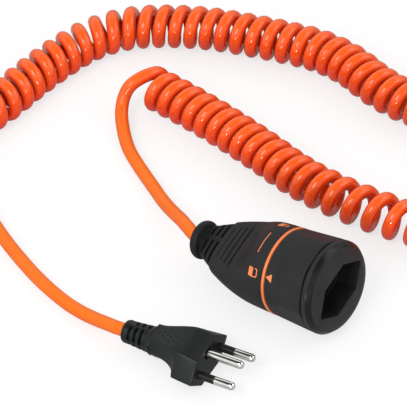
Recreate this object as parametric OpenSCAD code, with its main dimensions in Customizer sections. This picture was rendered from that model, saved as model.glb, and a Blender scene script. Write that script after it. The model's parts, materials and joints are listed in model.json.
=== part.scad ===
// Coiled extension cord: a three-pin plug, a curly cord with two straight leads,
// and an in-line coupling whose collar turns to lock the plug in.
// Millimetres, +Z up. The cord lies on the plane z = 0. The origin is under the middle
// of the coupling, whose axis runs along +X with its front end slightly raised.

/* [Cord] */
// Diameter of the cord over its jacket
cord_d = 6.6; // [6:0.1:7]
// Diameter of the coil over its curls
coil_d = 22; // [19:0.5:23]
// Distance from curl to curl on a straight run
coil_pitch = 8.3; // [7.6:0.1:11]
// Free gap kept between curls on the inner side of a bend
curl_gap = 0.9; // [0.8:0.1:1.5]
// Number of curls
curls = 71; // [60:1:73]
// Diameter of one insulated core
core_d = 2.4; // [2:0.1:2.6]

/* [Coupling] */
// Length from the cable end to the accent ring
grip_len = 53.5; // [50:0.5:58]
// Diameter of the grip at the accent ring
grip_d = 42.4; // [41:0.2:44]
// Diameter of the neck behind the grip
neck_d = 16.8; // [15:0.2:18]
// Diameter of the bulged flange at the cable end
flange_d = 19; // [16:0.2:20]
// Wall of the grip
grip_wall = 2.4; // [1.8:0.1:3]
// Thickness of the flattened tail behind the grip
tail_h = 10; // [9.6:0.2:12]
// Thickness of the flattened tail at its front end
tail_front_h = 15.4; // [14:0.2:17]
// Length of the strain relief that shows behind the grip
relief_len = 16; // [15:0.5:20]
// Width of the accent ring
ring_w = 1.4; // [0.8:0.1:2]
// Length of the lock collar
collar_len = 21.4; // [20:0.2:23]
// Diameter of the lock collar at its front edge
collar_d = 45.2; // [44.6:0.2:48]
// Depth of the eight flats on the lock collar
flat_depth = 0.7; // [0.3:0.1:0.9]
// Width of the gap between the lock collar and the rim
collar_gap = 0.8; // [0.4:0.1:1.2]
// Length of the front rim
rim_len = 6.4; // [6:0.2:8]
// How far the front rim stands proud of the lock collar
rim_proud = 0.1; // [-0.2:0.05:0.4]
// Thinnest wall of the lock collar, without its flats
collar_wall = 2; // [1.9:0.1:2.1]
// Wall of the core that the lock collar turns on
core_tube_wall = 1.9; // [1.6:0.1:2.2]
// Turn of the lock collar from open to locked, in degrees
lock_turn = 83; // [60:1:90]

/* [Recess and contacts] */
// Width of the recess from tip to tip
recess_w = 35.8; // [35.6:0.1:36]
// Height of the recess across its flats
recess_h = 19.5; // [17.5:0.1:20]
// Length of each flat side of the recess
recess_flat = 16; // [14:0.5:18]
// Depth of the recess
recess_depth = 12; // [10:0.5:13]
// Thickness of the recess floor
floor_t = 2; // [1.5:0.1:3]
// Thickness of the lock disc
disc_t = 1.6; // [1.2:0.1:2]
// Length of the contact block
block_len = 13; // [11:0.5:14]
// Outer diameter of a contact sleeve
contact_d = 6; // [5.4:0.1:6.4]

/* [Plug] */
// Diameter of the pins
pin_d = 4; // [3.9:0.05:4.1]
// Length of the pins in front of the face
pin_len = 19; // [17:0.5:20]
// Distance between the live and the neutral pin
pin_gap = 19; // [18.5:0.1:19.5]
// Offset of the earth pin from the line of the other two
earth_off = 5; // [4.6:0.1:5.2]
// Length of the insulating sleeves in front of the face
sleeve_len = 8.5; // [6:0.5:11]
// Width of the plug's face from tip to tip
plug_w = 35; // [34:0.1:35.2]
// Height of the plug across its flats
plug_h = 17; // [16.6:0.1:17.4]
// Wall of the plug's body
plug_wall = 1.8; // [1.4:0.1:2]
// Length of the plug's body behind its face
plug_len = 28.5; // [27:0.5:32]
// Length of the plug's boot
boot_len = 16.5; // [15:0.5:20]
// Diameter of the boot where it meets the body
boot_d = 14.4; // [13.6:0.2:14.8]
// Diameter of the boot at its cable end
boot_end_d = 10.8; // [9.6:0.2:12]

/* [Hidden] */
$fn = 72;

fit = 0.05;            // running clearance of the collar on its core
seat = 0.1;            // clearance of a piece pushed into another
play = 0.4;            // free gap beside a part that turns
eps = 0.01;
cord_r = cord_d / 2;

// ---- Coupling, along its own axis: x runs from the cable end to the front face,
// ---- beta is the angle about the axis, from the top towards -Y

tilt = 6.4;              // the front end lies higher than the cable end
roll = 13;             // the lock scale is turned a little out of the vertical
ring_x = grip_len;
collar_x = ring_x + ring_w + play;
rim_x = collar_x + collar_len + collar_gap;
front_x = rim_x + rim_len;
rim_d = collar_d + 2 * rim_proud;
floor_x = front_x - recess_depth;
disc_x = floor_x - floor_t - play - disc_t;
block_x = disc_x - play - block_len;
core_x = ring_x - 6;                     // the core's spigot sits in the grip's mouth
core_r = min(grip_d, collar_d) / 2 - collar_wall;
core_bore = core_r - core_tube_wall;
spigot_r = core_r - 0.6;
neck_x = 5.6;
flange_x = 2.6;
shank_r = cord_r + 1;
cavity_x = relief_len + 8;               // the tail is solid up to here
shank_x = cavity_x + 2;
contact_back = floor_x - pin_len - 1.2;  // the sleeves are a little deeper than the pins are long
crimp_len = 8;
crimp_r = 1.75;
jacket_x = contact_back - crimp_len - 14;

// Half width of the grip and of its tail: one parabola
function grip_r(x) =
    grip_d / 2 - (grip_d - neck_d) / 2 * pow((ring_x - x) / (ring_x - neck_x), 2);

// The tail is flat above and below, and a ramp leads up to the round grip
tail_end = relief_len + 12.4;
round_x = core_x - 0.2;
function ramp(t) = t < 0.25 ? t * t / 0.375 : t > 0.75 ? 1 - (1 - t) * (1 - t) / 0.375
    : (t - 0.125) / 0.75;
function round_share(x) = ramp(min(1, max(0, (x - tail_end) / (round_x - tail_end))));
function flat_half(x) = tail_h / 2
    + (tail_front_h - tail_h) / 2 * (min(x, tail_end) - neck_x) / (tail_end - neck_x);
function grip_high(x) = let (s = round_share(x)) flat_half(x) * (1 - s) + grip_r(x) * s;
function grip_wide(x, step) = (grip_r(x) - step) * (1 + 0.065 * (1 - grip_high(x) / grip_r(x)));

// Section with flattened top and underside, from half width, half height and its squareness
section_n = 40;
function flattened(x, a, b, n) = [for (k = [0:section_n - 1]) let (t = 360 * k / section_n)
    [x, a * sign(cos(t)) * pow(abs(cos(t)), 2 / n), b * sign(sin(t)) * pow(abs(sin(t)), 2 / n)]];
function grip_section(x, wide, high) =
    flattened(x, grip_wide(x, wide), grip_high(x) - high, 3.2 - 1.2 * round_share(x));

flange_outline = [[0, flange_d / 2 - 2.5], [1, flange_d / 2 - 0.7], [flange_x, flange_d / 2],
     [neck_x - 1.2, flange_d / 2 - 0.1], [neck_x, neck_d / 2]];
round_outline = [for (x = [round_x:1.6:ring_x]) [x, grip_r(x)]];
lip_len = 2.6;
rim_chamfer = [2.3, 1.8];
rim_face = 4.6;          // the front face falls away over this width
rim_outline = let (c = rim_x + lip_len, r = rim_d / 2)
    [[rim_x, r - 0.9], [rim_x + 0.7, r], [c - 0.4, r], [c, r - 0.15],
     [c + rim_chamfer.x, r - rim_chamfer.y], [c + rim_chamfer.x + 0.35, r - rim_chamfer.y - 0.5],
     [front_x - 0.4, r - rim_face + 0.4], [front_x, r - rim_face - 0.9]];
collar_outline = [[collar_x, grip_d / 2 - 0.25], [collar_x + 0.4, grip_d / 2 + 0.05],
    [collar_x + collar_len - 0.6, collar_d / 2], [collar_x + collar_len, collar_d / 2 - 0.6]];
coupling_outline = concat(flange_outline, round_outline, [[ring_x, grip_d / 2]],
    collar_outline, rim_outline);

// The coupling lies on its round grip, and the origin is under the middle of its length
lie_z = -min([for (p = coupling_outline) p.x * sin(tilt) - p.y * cos(tilt)]);
back_end = min([for (p = coupling_outline) p.x * cos(tilt) - p.y * sin(tilt)]);
front_end = max([for (p = coupling_outline) p.x * cos(tilt) + p.y * sin(tilt)]);
mid_x = (back_end + front_end) / 2;

function on_axis(x) = [x * cos(tilt) - mid_x, 0, x * sin(tilt) + lie_z];
axis_dir = [cos(tilt), 0, sin(tilt)];

module coupling_frame() {
    translate([-mid_x, 0, lie_z]) rotate([roll, -tilt, 0]) children();
}

// Solid of revolution about the coupling's axis, from points [x, radius]
module turned(outline) {
    rotate([0, 90, 0]) rotate_extrude() polygon([for (p = outline) [p.y, p.x]]);
}

// Shell of revolution from r0 to r1 and from x0 to x1, between two angles beta
module sector(x0, x1, r0, r1, from, to) {
    rotate([0, 90, 0]) rotate([0, 0, 180 + from]) rotate_extrude(angle = to - from)
        translate([r0, x0]) square([r1 - r0, x1 - x0]);
}

module rod(x0, x1, r) {
    translate([x0, 0, 0]) rotate([0, 90, 0]) cylinder(h = x1 - x0, r = r);
}

// Flattened hexagon with its tips on the Y axis, drawn from x0 to x1
module hexagon_bar(x0, x1, w, h, flat) {
    translate([x0, 0, 0]) rotate([90, 0, 90]) linear_extrude(x1 - x0)
        polygon([[w / 2, 0], [flat / 2, h / 2], [-flat / 2, h / 2],
                 [-w / 2, 0], [-flat / 2, -h / 2], [flat / 2, -h / 2]]);
}

// Solid through a row of sections with the same number of points
module loft(sections) {
    n = len(sections);
    m = len(sections[0]);
    last = (n - 1) * m;
    polyhedron(
        points = [for (s = sections) each s],
        faces = concat(
            [for (i = [0:n - 2], k = [0:m - 1]) let (a = i * m + k, b = i * m + (k + 1) % m)
                each [[a, a + m, b], [b, a + m, b + m]]],
            [for (k = [1:m - 2]) [0, k, k + 1]],
            [for (k = [1:m - 2]) [last, last + k + 1, last + k]]));
}

// The three pin places: live, neutral and earth
pin_at = [[0, -pin_gap / 2, 0], [0, pin_gap / 2, 0], [0, 0, earth_off]];

relief_step = 0.8;       // the grip stands proud of the strain relief
slot_w = 1.2;
slot_step = 3.2;
slot_first = neck_x + 2;
slot_web = [0.8, 1.6];   // the web that is left between the slots, to either side of the middle
slot_floor = 3;
slot_core = cord_r + 0.9;

module strain_relief() {
    color("#2e2f30") coupling_frame() difference() {
        union() {
            turned(concat([[0, 0]], flange_outline, [[neck_x, 0]]));
            loft([for (i = [0:6]) let (x = neck_x - 1 + (relief_len - neck_x + 1) * i / 6)
                grip_section(x, relief_step, 0.3)]);
            rod(neck_x, shank_x, shank_r);
            rod(cavity_x + seat, shank_x, shank_r + 0.7);
        }
        rod(-1, shank_x + 1, cord_r + fit);
        for (i = [0:2], up = [0, 180]) let (x = slot_first + slot_step * i) difference() {
            rotate([up, 0, 0]) translate([x, -neck_d, slot_floor])
                cube([slot_w, 2 * neck_d, tail_h]);
            rod(x - 1, x + slot_w + 1, slot_core);
            translate([x - 1, -slot_web[0], -tail_h])
                cube([slot_w + 2, slot_web[0] + slot_web[1], 2 * tail_h]);
        }
    }
}

groove_w = 0.8;
groove_step = 3.05;
groove_first = relief_len + 2.4;
groove_half = 8.6;
groove_deep = 0.6;
grip_xs = concat([for (i = [0:3]) relief_len + (tail_end - relief_len) * i / 3],
    [for (i = [1:10]) tail_end + (round_x - tail_end) * i / 10], [(round_x + ring_x) / 2, ring_x]);

module rear_grip() {
    color("#38393a") coupling_frame() difference() {
        loft([for (x = grip_xs) grip_section(x, 0, 0)]);
        loft([for (x = concat([cavity_x], [for (x = grip_xs) if (x > cavity_x && x <= round_x) x]))
            grip_section(x, grip_wall, grip_wall * 0.75)]);
        rod(relief_len - 1, cavity_x + 1, shank_r + seat);
        rod(round_x - seat, ring_x + 1, spigot_r + seat);
        for (i = [0:3], up = [0, 180])
            let (x = groove_first + groove_step * i, half = groove_half + 1.1 * i)
                rotate([up, 0, 0]) translate([x, -half, grip_high(x) - groove_deep])
                    cube([groove_w, 2 * half, 2]);
    }
}

module accent_ring() {
    color("#f26a21") coupling_frame() difference() {
        turned([[ring_x, 0], [ring_x, grip_d / 2], [ring_x + 0.3, grip_d / 2 + 0.25],
            [ring_x + ring_w - 0.3, grip_d / 2 + 0.25], [ring_x + ring_w, grip_d / 2],
            [ring_x + ring_w, 0]]);
        rod(ring_x - 1, ring_x + ring_w + 1, core_r + fit);
    }
}

tab_half = 10;         // half width of a drive tab, in degrees
tab_at = 67.5;          // where the drive tabs stand while the lock is open
tab_r = core_r + 1;
detent_x = collar_x + 4;
detent_w = 4;

module lock_collar() {
    cone = atan((collar_d - grip_d) / 2 / collar_len);
    color("#3a3b3c") coupling_frame() difference() {
        turned(concat([[collar_x, 0]], collar_outline, [[collar_x + collar_len, 0]]));
        rod(collar_x - 1, collar_x + collar_len + 1, core_r + fit);
        for (k = [0:7]) rotate([45 * k, 0, 0])
            translate([collar_x, 0, grip_d / 2 - flat_depth]) rotate([0, -cone, 0])
                translate([-5, -15, 0]) cube([collar_len + 15, 30, 10]);
        for (side = [0, 180]) sector(collar_x - 1, disc_x + disc_t + seat, core_r - 1, tab_r + seat,
            side + tab_at - tab_half - 0.5, side + tab_at + tab_half + 0.5);
        for (b = [0, lock_turn]) rotate([180 + b, 0, 0])
            translate([0, 0, core_r]) rod(detent_x, detent_x + detent_w, 0.7);
    }
}

disc_r = core_bore - play;
grip_in = pin_gap / 2 + pin_d / 2 + 0.2;
pin_half = asin(pin_d / pin_gap) + 3;

// The disc turns with the collar, and its slots narrow to grip the live and neutral pins
module lock_disc() {
    color("#b9bcc0") coupling_frame() {
        difference() {
            rod(disc_x, disc_x + disc_t, disc_r);
            rod(disc_x - 1, disc_x + disc_t + 1, earth_off + pin_d / 2 + 0.4);
            for (side = [90, 270]) {
                sector(disc_x - 1, disc_x + disc_t + 1, 1, grip_in, side - pin_half, side + lock_turn - 20);
                sector(disc_x - 1, disc_x + disc_t + 1, 1, grip_in - 0.25,
                    side - pin_half, side + lock_turn + pin_half);
            }
        }
        for (side = [0, 180]) sector(disc_x, disc_x + disc_t, disc_r - 1, tab_r,
            side + tab_at - tab_half, side + tab_at + tab_half);
    }
}

spring_half = 18;
pocket = 0.9;

module detent_spring() {
    color("#c8ccd0") coupling_frame() {
        sector(detent_x, detent_x + detent_w, core_r - pocket + seat, core_r - 0.45,
            180 - spring_half, 180 + spring_half);
        translate([0, 0, -core_r + 0.45]) rod(detent_x, detent_x + detent_w, 0.4);
    }
}

module front_insert() {
    color("#3c3d3e") coupling_frame() difference() {
        union() {
            turned(concat([[rim_x, 0]], rim_outline, [[front_x, 0]]));
            rod(ring_x, rim_x + 1, core_r);
            rod(core_x, ring_x + 1, spigot_r);
        }
        hexagon_bar(floor_x, front_x + 1, recess_w, recess_h, recess_flat);
        rod(core_x - 1, floor_x - floor_t, core_bore);
        for (p = pin_at) translate(p) rod(floor_x - floor_t - 1, floor_x + 1, pin_d / 2 + 0.3);
        for (side = [0, 180]) sector(disc_x - play, floor_x - floor_t, core_bore - 1, core_r + 1,
            side + tab_at - tab_half - lock_turn - 2, side + tab_at + tab_half + 2);
        sector(detent_x - seat, detent_x + detent_w + seat, core_r - pocket, core_r + 1,
            180 - spring_half - 1, 180 + spring_half + 1);
    }
}

module contact_block() {
    color("#e8e6df") coupling_frame() difference() {
        rod(block_x, block_x + block_len, core_bore - fit);
        for (p = pin_at) translate(p) rod(block_x - 1, block_x + block_len + 1, contact_d / 2);
    }
}

// Slit sleeve that grips a pin, with the crimp for its core behind it
module contact(place) {
    color("#c9a24b") coupling_frame() translate(place) difference() {
        union() {
            rod(contact_back, block_x + block_len - 0.2, contact_d / 2);
            rod(contact_back - crimp_len, contact_back + eps, crimp_r);
        }
        rod(contact_back + 0.8, block_x + block_len + 1, pin_d / 2 + fit);
        rod(contact_back - crimp_len - 1, contact_back - 1.5, crimp_r - 0.6);
        for (a = [45, 135]) rotate([a, 0, 0])
            translate([contact_back + 5, -contact_d, -0.3]) cube([block_len + 5, 2 * contact_d, 0.6]);
    }
}
module contact_live() contact(pin_at[0]);
module contact_neutral() contact(pin_at[1]);
module contact_earth() contact(pin_at[2]);

ferrule_len = min(4.5, jacket_x - shank_x - 0.5);

module jacket_ferrule() {
    color("#c7c9cc") coupling_frame() difference() {
        rod(shank_x, shank_x + ferrule_len, cord_r + 1.3);
        rod(shank_x - 1, shank_x + ferrule_len + 1, cord_r + fit);
    }
}

// ---- Tubes swept along a path

function unit(v) = v / norm(v);

// Ring of a tube: points about p, square to d, the first one on the side of out
function ring(p, d, out, r, sides) =
    let (u = unit(out - d * (out * d)), w = cross(d, u))
    [for (k = [0:sides - 1]) p + r * (cos(360 * k / sides) * u + sin(360 * k / sides) * w)];

module tube(path, dirs, outs, r, sides) {
    n = len(path);
    last = (n - 1) * sides;
    polyhedron(
        points = [for (i = [0:n - 1]) each ring(path[i], dirs[i], outs[i], r, sides)],
        faces = concat(
            [for (i = [0:n - 2], k = [0:sides - 1]) let (a = i * sides + k, b = i * sides + (k + 1) % sides)
                each [[a, a + sides, b], [b, a + sides, b + sides]]],
            [for (k = [1:sides - 2]) [0, k, k + 1]],
            [for (k = [1:sides - 2]) [last, last + k + 1, last + k]]));
}

// Directions along a path of points, with the given ones at its two ends
function path_dirs(path, first, last) =
    let (n = len(path) - 1)
    [for (i = [0:n]) i == 0 ? first : i == n ? last
        : unit(unit(path[i + 1] - path[i]) + unit(path[i] - path[i - 1]))];

module lead(path, first, last, r, sides) {
    dirs = path_dirs(path, first, last);
    tube(path, dirs, [for (d = dirs) [0, 0, 1]], r, sides);
}

// Core from its place in the jacket to its crimp, in one smooth S
core_turn = [-150, -30, 90];            // angle of each core inside the jacket
core_ring = core_d / 2 / cos(30);       // three cores lie against each other

module coupling_core(i) {
    from = core_ring * [0, cos(core_turn[i]), sin(core_turn[i])];
    x0 = jacket_x;
    x1 = contact_back - crimp_len;
    path = [for (k = [0:7]) let (t = k / 7, s = t * t * (3 - 2 * t))
        [x0 + (x1 - x0) * t, 0, 0] + from * (1 - s) + pin_at[i] * s];
    coupling_frame() lead(path, [1, 0, 0], [1, 0, 0], core_d / 2, 8);
}
module core_live() color("#7a4a2a") coupling_core(0);
module core_neutral() color("#2f6fb5") coupling_core(1);
module core_earth() color("#9bbf3b") coupling_core(2);

// ---- Plug, along its own axis: x = 0 is its face and the pins point to +X

plug_place = [4.1, -55.7];
plug_heading = 7;
boot_rise = 1;         // the boot sits higher than the line of the pins
face_t = 2;            // thickness of the body's front wall
bridge_len = 3.4;
pin_back = -face_t - bridge_len - 5;
stem_r = 1.5;
earth_step = 0.2;      // the earth pin's shoulder starts just in front of the face
pin_edge = 0.3;        // bevel of a pin's shoulder and of a sleeve's front end

module plug_frame() {
    translate([plug_place.x, plug_place.y, plug_h / 2]) rotate([0, 0, plug_heading]) children();
}
function on_plug(x) = [plug_place.x + x * cos(plug_heading), plug_place.y + x * sin(plug_heading),
    plug_h / 2 + boot_rise];
plug_dir = [cos(plug_heading), sin(plug_heading), 0];

waist_r = boot_d / 2 + 0.1;
wing_len = 12;
// Half width of the body at x: straight wings, then a hollow curve down to the waist
function plug_half(x) =
    let (run = plug_len - wing_len, t = (x + plug_len) / run)
    x >= -wing_len ? plug_w / 2 + x * 0.1
    : waist_r + (plug_w / 2 - wing_len * 0.1 - waist_r) * (1 - sqrt(max(0, 1 - t * t)));
// Height of the body above and below the line of the pins: the top rises to the finger
// grip behind the part that enters a recess, and the underside rises to the boot
grip_rise = 1.6;
function ease(t) = let (u = min(1, max(0, t))) u * u * (3 - 2 * u);
function plug_top(x) = plug_h / 2 + grip_rise * ease((-x - 9) / 6)
    - 1.8 * pow(max(0, -x - 20) / (plug_len - 20), 2);
function plug_under(x) = plug_h / 2 - 2.2 * ease((-x - 9) / 9);
// Half width of its flat top and of its flat underside
function plug_flat(x) = plug_w / 4 - 2.8 * pow(x / plug_len, 2);
function plug_sole(x) = plug_w / 4 - 5.2 * ease((-x - 7) / 11);

function plug_section(x, in) =
    let (a = plug_half(x) - in, b = plug_flat(x) - in / 2, c = plug_sole(x) - in / 2,
         t = plug_top(x) - in * 0.8, u = plug_under(x) - in * 0.8)
    [[x, -a, 0], [x, -b, t], [x, b, t], [x, a, 0], [x, c, -u], [x, -c, -u]];

module plug_loft(xs, in) loft([for (x = xs) plug_section(x, in)]);

wing_xs = [for (x = [0:-2:-wing_len]) x];
waist_xs = [for (a = [8:8:88]) -plug_len + (plug_len - wing_len) * cos(a)];
cavity_end = -plug_len + 2;

module plug_body() {
    color("#343638") plug_frame() difference() {
        plug_loft(concat(wing_xs, waist_xs, [-plug_len]), 0);
        plug_loft(concat([-face_t], [for (x = wing_xs) if (x < -face_t) x],
            [for (x = waist_xs) if (x > cavity_end) x], [cavity_end]), plug_wall);
        translate([0, 0, boot_rise]) rod(-plug_len - 1, cavity_end + 1, cord_r + fit);
        for (p = pin_at) translate(p) rod(-face_t - 1, 1, pin_d / 2 + fit);
        translate(pin_at[2]) rod(-0.8, 1, pin_d / 2 + 0.8);
    }
}

boot_slots = [4.7, 8, 11.2];

module plug_boot() {
    taper = (boot_d - boot_end_d) / 2;
    back = -plug_len - boot_len;
    color("#303234") plug_frame() translate([0, 0, boot_rise]) difference() {
        turned([[-plug_len, 0], [-plug_len, boot_d / 2], [-plug_len - 0.8, boot_d / 2 + 0.2],
            [-plug_len - 1.8, boot_d / 2 - 0.3], [back + 3.4, boot_end_d / 2 + 0.2],
            [back + 1.6, boot_end_d / 2 + 0.3], [back + 0.4, boot_end_d / 2 - 0.2],
            [back, boot_end_d / 2 - 0.8], [back, 0]]);
        rod(back - 1, -plug_len + 1, cord_r + fit);
        for (s = boot_slots, k = [0:3]) let (x = -plug_len - s)
            sector(x - 1.3, x, cord_r + 0.9, boot_d, 90 * k + 8, 90 * k + 82);
    }
}

module pin_bridge() {
    half = plug_half(-face_t - bridge_len) - plug_wall - seat;
    color("#d8d6cf") plug_frame() difference() {
        hexagon_bar(-face_t - bridge_len, -face_t, 2 * half,
            2 * (plug_top(-face_t - bridge_len) - plug_wall * 0.8 - seat),
            2 * (plug_flat(-face_t - bridge_len) - plug_wall / 2 - seat));
        for (p = pin_at) translate(p) rod(-face_t - bridge_len - 1, 1, stem_r + fit);
    }
}

// Pin with a domed tip, a thinner stem through the bridge and a crimp behind it
module pin(place, full_from) {
    color("#d9dbdd") plug_frame() translate(place) difference() {
        union() {
            turned([[full_from, 0], [full_from, stem_r], [full_from + pin_edge, pin_d / 2],
                [pin_len - pin_d / 2, pin_d / 2], [pin_len - pin_d / 2, 0]]);
            translate([pin_len - pin_d / 2, 0, 0]) sphere(r = pin_d / 2);
            rod(-face_t - bridge_len, full_from + eps, stem_r);
            rod(pin_back, -face_t - bridge_len, crimp_r);
        }
        rod(pin_back - 1, pin_back + 4, crimp_r - 0.6);
    }
}
module pin_live() pin(pin_at[0], sleeve_len);
module pin_neutral() pin(pin_at[1], sleeve_len);
module pin_earth() pin(pin_at[2], earth_step);

module pin_sleeve(place) {
    color("#202122") plug_frame() translate(place) difference() {
        turned([[-face_t, 0], [-face_t, pin_d / 2], [sleeve_len - pin_edge, pin_d / 2],
            [sleeve_len, pin_d / 2 - pin_edge / 2], [sleeve_len, 0]]);
        rod(-face_t - 1, sleeve_len + 1, stem_r + fit);
    }
}
module sleeve_live() pin_sleeve(pin_at[0]);
module sleeve_neutral() pin_sleeve(pin_at[1]);

// Core from its place in the jacket, round the waist, to its crimp
module plug_core(i) {
    from = core_ring * [0, cos(core_turn[i]), sin(core_turn[i])] + [0, 0, boot_rise];
    x0 = cavity_end;
    path = [for (k = [0:7]) let (t = k / 7, s = pow(t, 1.7) * (1 + 0.35 * (1 - t)))
        [x0 + (pin_back - x0) * t, 0, 0] + from * (1 - s) + pin_at[i] * s];
    plug_frame() lead(path, [1, 0, 0], unit([1, 0, 0] + pin_at[i] * 0.02), core_d / 2, 8);
}
module plug_core_live() color("#7a4a2a") plug_core(0);
module plug_core_neutral() color("#2f6fb5") plug_core(1);
module plug_core_earth() color("#9bbf3b") plug_core(2);

// ---- Curly cord: its centre line on the floor is a row of runs
// ---- [length, bend in degrees, how much wider the curls stand there]

coil_start = [-128.1, 74.1, -3];        // x, y and heading
bend_spread = 1.3;      // the curls stand further apart in the wide bend
coil_route = [
    [49, -5, 0], [40, -4, 0], [30, 11, 0], [50, 10, 3], [30, 14, 2.5],
    [60, 104, bend_spread], [50, 69, bend_spread],
    [40, -11, 0], [40, -22, 0], [40, 29, 0], [40, 5, 0], [40, 16, 0], [40, 42, 0], [40, 11, 0], [60, -40, 0]
];
coil_z = coil_d / 2;
coil_r = coil_d / 2 - cord_r;
rings_per_curl = 8;
first_turn = 105;       // the cord comes in over the top of the first curl

// Point and heading at the distance s along one run that starts at from
function on_run(from, run, s) =
    let (b = run[1] * s / run[0], c = abs(b) < 0.001 ? s : s * sin(b / 2) / (b / 2 * PI / 180))
    [from.x + c * cos(from.z + b / 2), from.y + c * sin(from.z + b / 2), from.z + b];

run_starts = [for (i = 0, p = coil_start; i < len(coil_route);
    p = on_run(p, coil_route[i], coil_route[i][0]), i = i + 1) p];
run_sums = [for (i = 0, s = 0; i < len(coil_route); s = s + coil_route[i][0], i = i + 1) s];

function run_at(s) = max([for (k = [0:len(coil_route) - 1]) if (run_sums[k] <= max(s, 0)) k]);

// Point and heading at the distance s along the whole route
function on_route(s) =
    let (i = run_at(s)) on_run(run_starts[i], coil_route[i], s - run_sums[i]);

// The curls fan out in a bend, so that their inner side never closes
look = 9;
function bend_at(s) = abs(on_route(s + look).z - on_route(s - look).z) * PI / 180 / (2 * look);
function spread_at(s) = coil_route[run_at(s)][2];
function pitch_at(s) = max(coil_pitch + (spread_at(s - look) + spread_at(s + look)) / 2,
    (cord_d + curl_gap) / (1 - coil_r * bend_at(s)));

// Distance along the route of each ring of the tube
ring_s = [for (i = 0, s = 0; i <= curls * rings_per_curl;
    s = s + pitch_at(s) / rings_per_curl, i = i + 1) s];

function left_of(h) = [-sin(h), cos(h), 0];
function out_at(turn, h) = -cos(turn) * left_of(h) + sin(turn) * [0, 0, 1];
function curl_point(s, turn) =
    let (p = on_route(s)) [p.x, p.y, coil_z] + coil_r * out_at(turn, p.z);
function curl_dir(s, turn) =
    let (h = on_route(s).z)
    unit(coil_r * (sin(turn) * left_of(h) + cos(turn) * [0, 0, 1])
        + pitch_at(s) / 2 / PI * [cos(h), sin(h), 0]);
function turn_of(i) = first_turn + 360 / rings_per_curl * i;

ring_ids = [0:curls * rings_per_curl];
ring_points = [for (i = ring_ids) curl_point(ring_s[i], turn_of(i))];
ring_dirs = [for (i = ring_ids) curl_dir(ring_s[i], turn_of(i))];
ring_outs = [for (i = ring_ids) out_at(turn_of(i), on_route(ring_s[i]).z)];
last_ring = curls * rings_per_curl;

// The tube runs straight for one diameter at both ends
coil_in = ring_points[0] - cord_d * ring_dirs[0];
coil_out = ring_points[last_ring] + cord_d * ring_dirs[last_ring];

module coiled_cord() {
    color("#f0541e") tube(
        concat([coil_in], ring_points, [coil_out]),
        concat([ring_dirs[0]], ring_dirs, [ring_dirs[last_ring]]),
        concat([ring_outs[0]], ring_outs, [ring_outs[last_ring]]), cord_r, 6);
}

// Least gap of the coil to itself, measured from curl to curl on 24 points a turn
fine_s = [for (i = [0:last_ring - 1], k = [0:2]) ring_s[i] + (ring_s[i + 1] - ring_s[i]) * k / 3];
fine_points = [for (j = [0:len(fine_s) - 1]) curl_point(fine_s[j], first_turn + 15 * j)];
curl_gaps = [for (j = [0:len(fine_s) - 37], k = [12:36]) norm(fine_points[j + k] - fine_points[j])];
echo(lie_z = lie_z, mid_x = mid_x);
echo(least_gap_between_curls = min(curl_gaps) - cord_d, route_used = ring_s[last_ring]);

// ---- Straight leads

coupling_route = [
    [-46.5, 1, 15.2], [-52.5, 3.9, 14.3], [-59, 7.4, 12.4], [-66, 10.9, 9.9], [-73, 14.5, 7.6],
    [-80.5, 18.6, 5.6], [-88, 23, 4.2], [-97.5, 28.2, 3.4], [-107, 33.3, 3.3], [-117, 39.4, 3.3],
    [-126.5, 47.6, 4.3], [-133.2, 55.5, 7.8], [-135, 61.5, 12.6], [-133.2, 66, 17.2]
];
module lead_coupling() {
    path = concat([on_axis(jacket_x), on_axis(0)], coupling_route, [coil_in]);
    color("#f57a2e") lead(path, -axis_dir, ring_dirs[0], cord_r, 12);
}

plug_route = [
    [-182, -10, 13.5], [-174, -15, 9], [-165.5, -20.5, 5.3], [-156.5, -26, 3.5],
    [-147, -32, 3.3], [-137, -37.3, 3.3],
    [-126, -42.4, 3.3], [-114, -47.3, 3.3], [-102, -51.7, 3.3], [-90, -55.2, 3.3], [-79, -57.6, 3.3],
    [-69, -59, 3.9], [-59.5, -60, 5.5], [-52, -60.8, 7.4], [-46.5, -61.5, 8.9]
];
plug_back = -plug_len - boot_len;
module lead_plug() {
    path = concat([coil_out], plug_route, [on_plug(plug_back), on_plug(cavity_end)]);
    color("#f57a2e") lead(path, ring_dirs[last_ring], plug_dir, cord_r, 12);
}

strain_relief();
rear_grip();
accent_ring();
lock_collar();
lock_disc();
detent_spring();
front_insert();
contact_block();
contact_live();
contact_neutral();
contact_earth();
jacket_ferrule();
core_live();
core_neutral();
core_earth();
plug_body();
plug_boot();
pin_bridge();
pin_live();
pin_neutral();
pin_earth();
sleeve_live();
sleeve_neutral();
plug_core_live();
plug_core_neutral();
plug_core_earth();
lead_coupling();
coiled_cord();
lead_plug();
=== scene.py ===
# %% [markdown]
# # A coiled extension cord
#
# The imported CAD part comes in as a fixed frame, in metres. This script puts a camera in front
# of it, rebuilds the cord as one smooth tube, and then makes a finer skin for each moulded piece
# of the coupling and the plug. Pieces that hide inside keep their CAD solids and get a finish.

# %% Load the frame
import json
import math

import bmesh
import bpy
import numpy as np
from mathutils import Matrix, Vector


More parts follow.
